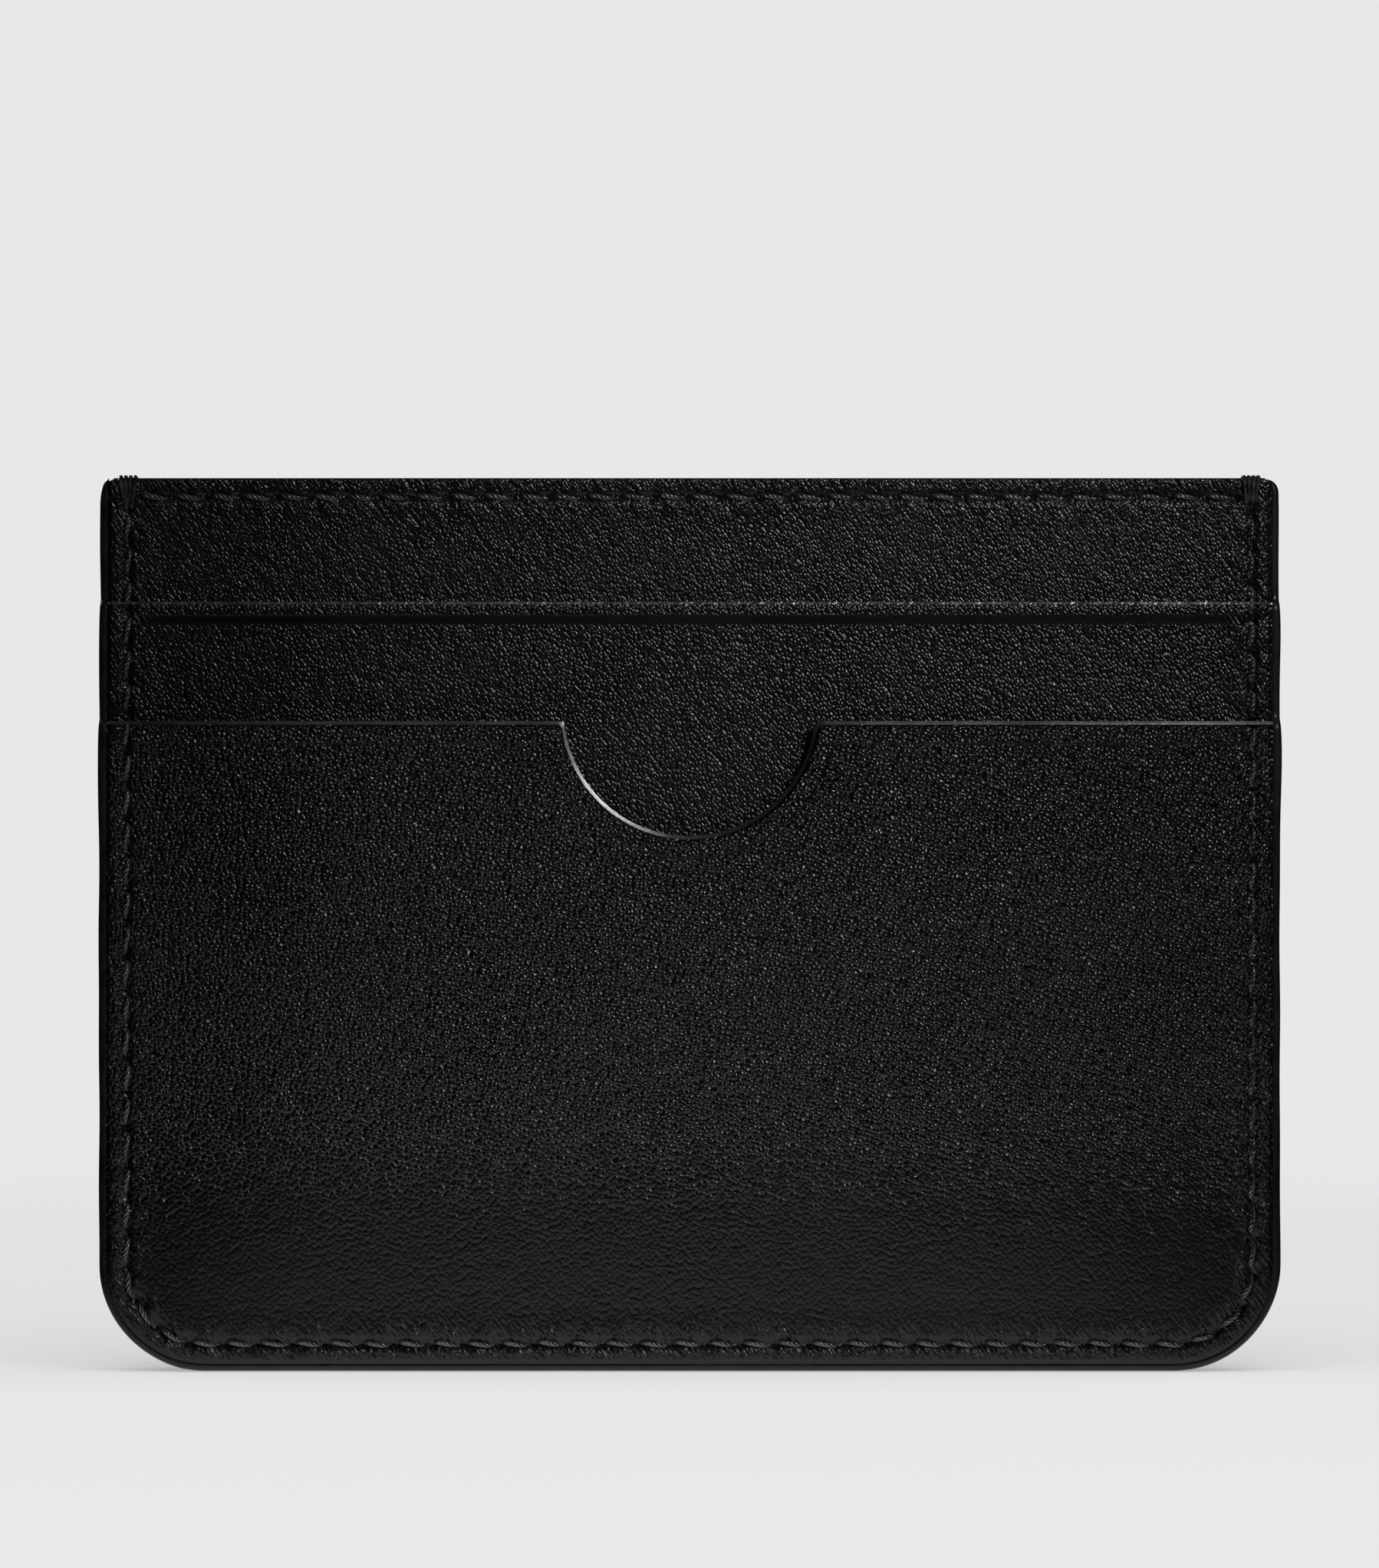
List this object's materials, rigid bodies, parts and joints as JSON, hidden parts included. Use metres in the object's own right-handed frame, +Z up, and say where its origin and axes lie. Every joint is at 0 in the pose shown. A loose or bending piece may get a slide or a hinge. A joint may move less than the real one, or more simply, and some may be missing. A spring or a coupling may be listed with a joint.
{
  "type": "card holder",
  "caption": "Slim leather card holder with stepped card pockets and a thumb notch on each side, and a centre pocket open at the top.",
  "frame": {"origin": "middle of the lower edge, on the surface that the holder stands on, half-way between the front and the back", "axes": "+Z up towards the pocket mouths, +X to the right seen from the front, and the front faces -Y"},
  "size_m": [0.1, 0.0062, 0.0761],
  "materials": {
    "leather": "black smooth calf with a fine pebbled grain and a satin sheen",
    "lining": "thin black woven lining, matt",
    "edge_paint": "black painted leather edge, satin",
    "thread": "black bonded sewing thread, slightly glossy"
  },
  "bodies": {
    "root": {"front_panel": "leather", "front_panel_lining": "lining", "front_panel_edge": "edge_paint", "front_upper_pocket": "leather", "front_upper_pocket_lining": "lining", "front_upper_pocket_edge": "edge_paint", "front_card_stop_seam": "thread", "front_lower_pocket": "leather", "front_lower_pocket_lining": "lining", "front_lower_pocket_edge": "edge_paint", "front_top_stitching": "thread", "front_perimeter_stitching": "thread", "back_panel": "leather", "back_panel_lining": "lining", "back_panel_edge": "edge_paint", "back_upper_pocket": "leather", "back_upper_pocket_lining": "lining", "back_upper_pocket_edge": "edge_paint", "back_card_stop_seam": "thread", "back_lower_pocket": "leather", "back_lower_pocket_lining": "lining", "back_lower_pocket_edge": "edge_paint", "back_top_stitching": "thread", "back_perimeter_stitching": "thread", "painted_rim": "edge_paint", "left_corner_tack": "thread", "right_corner_tack": "thread"}
  },
  "joints": []
}
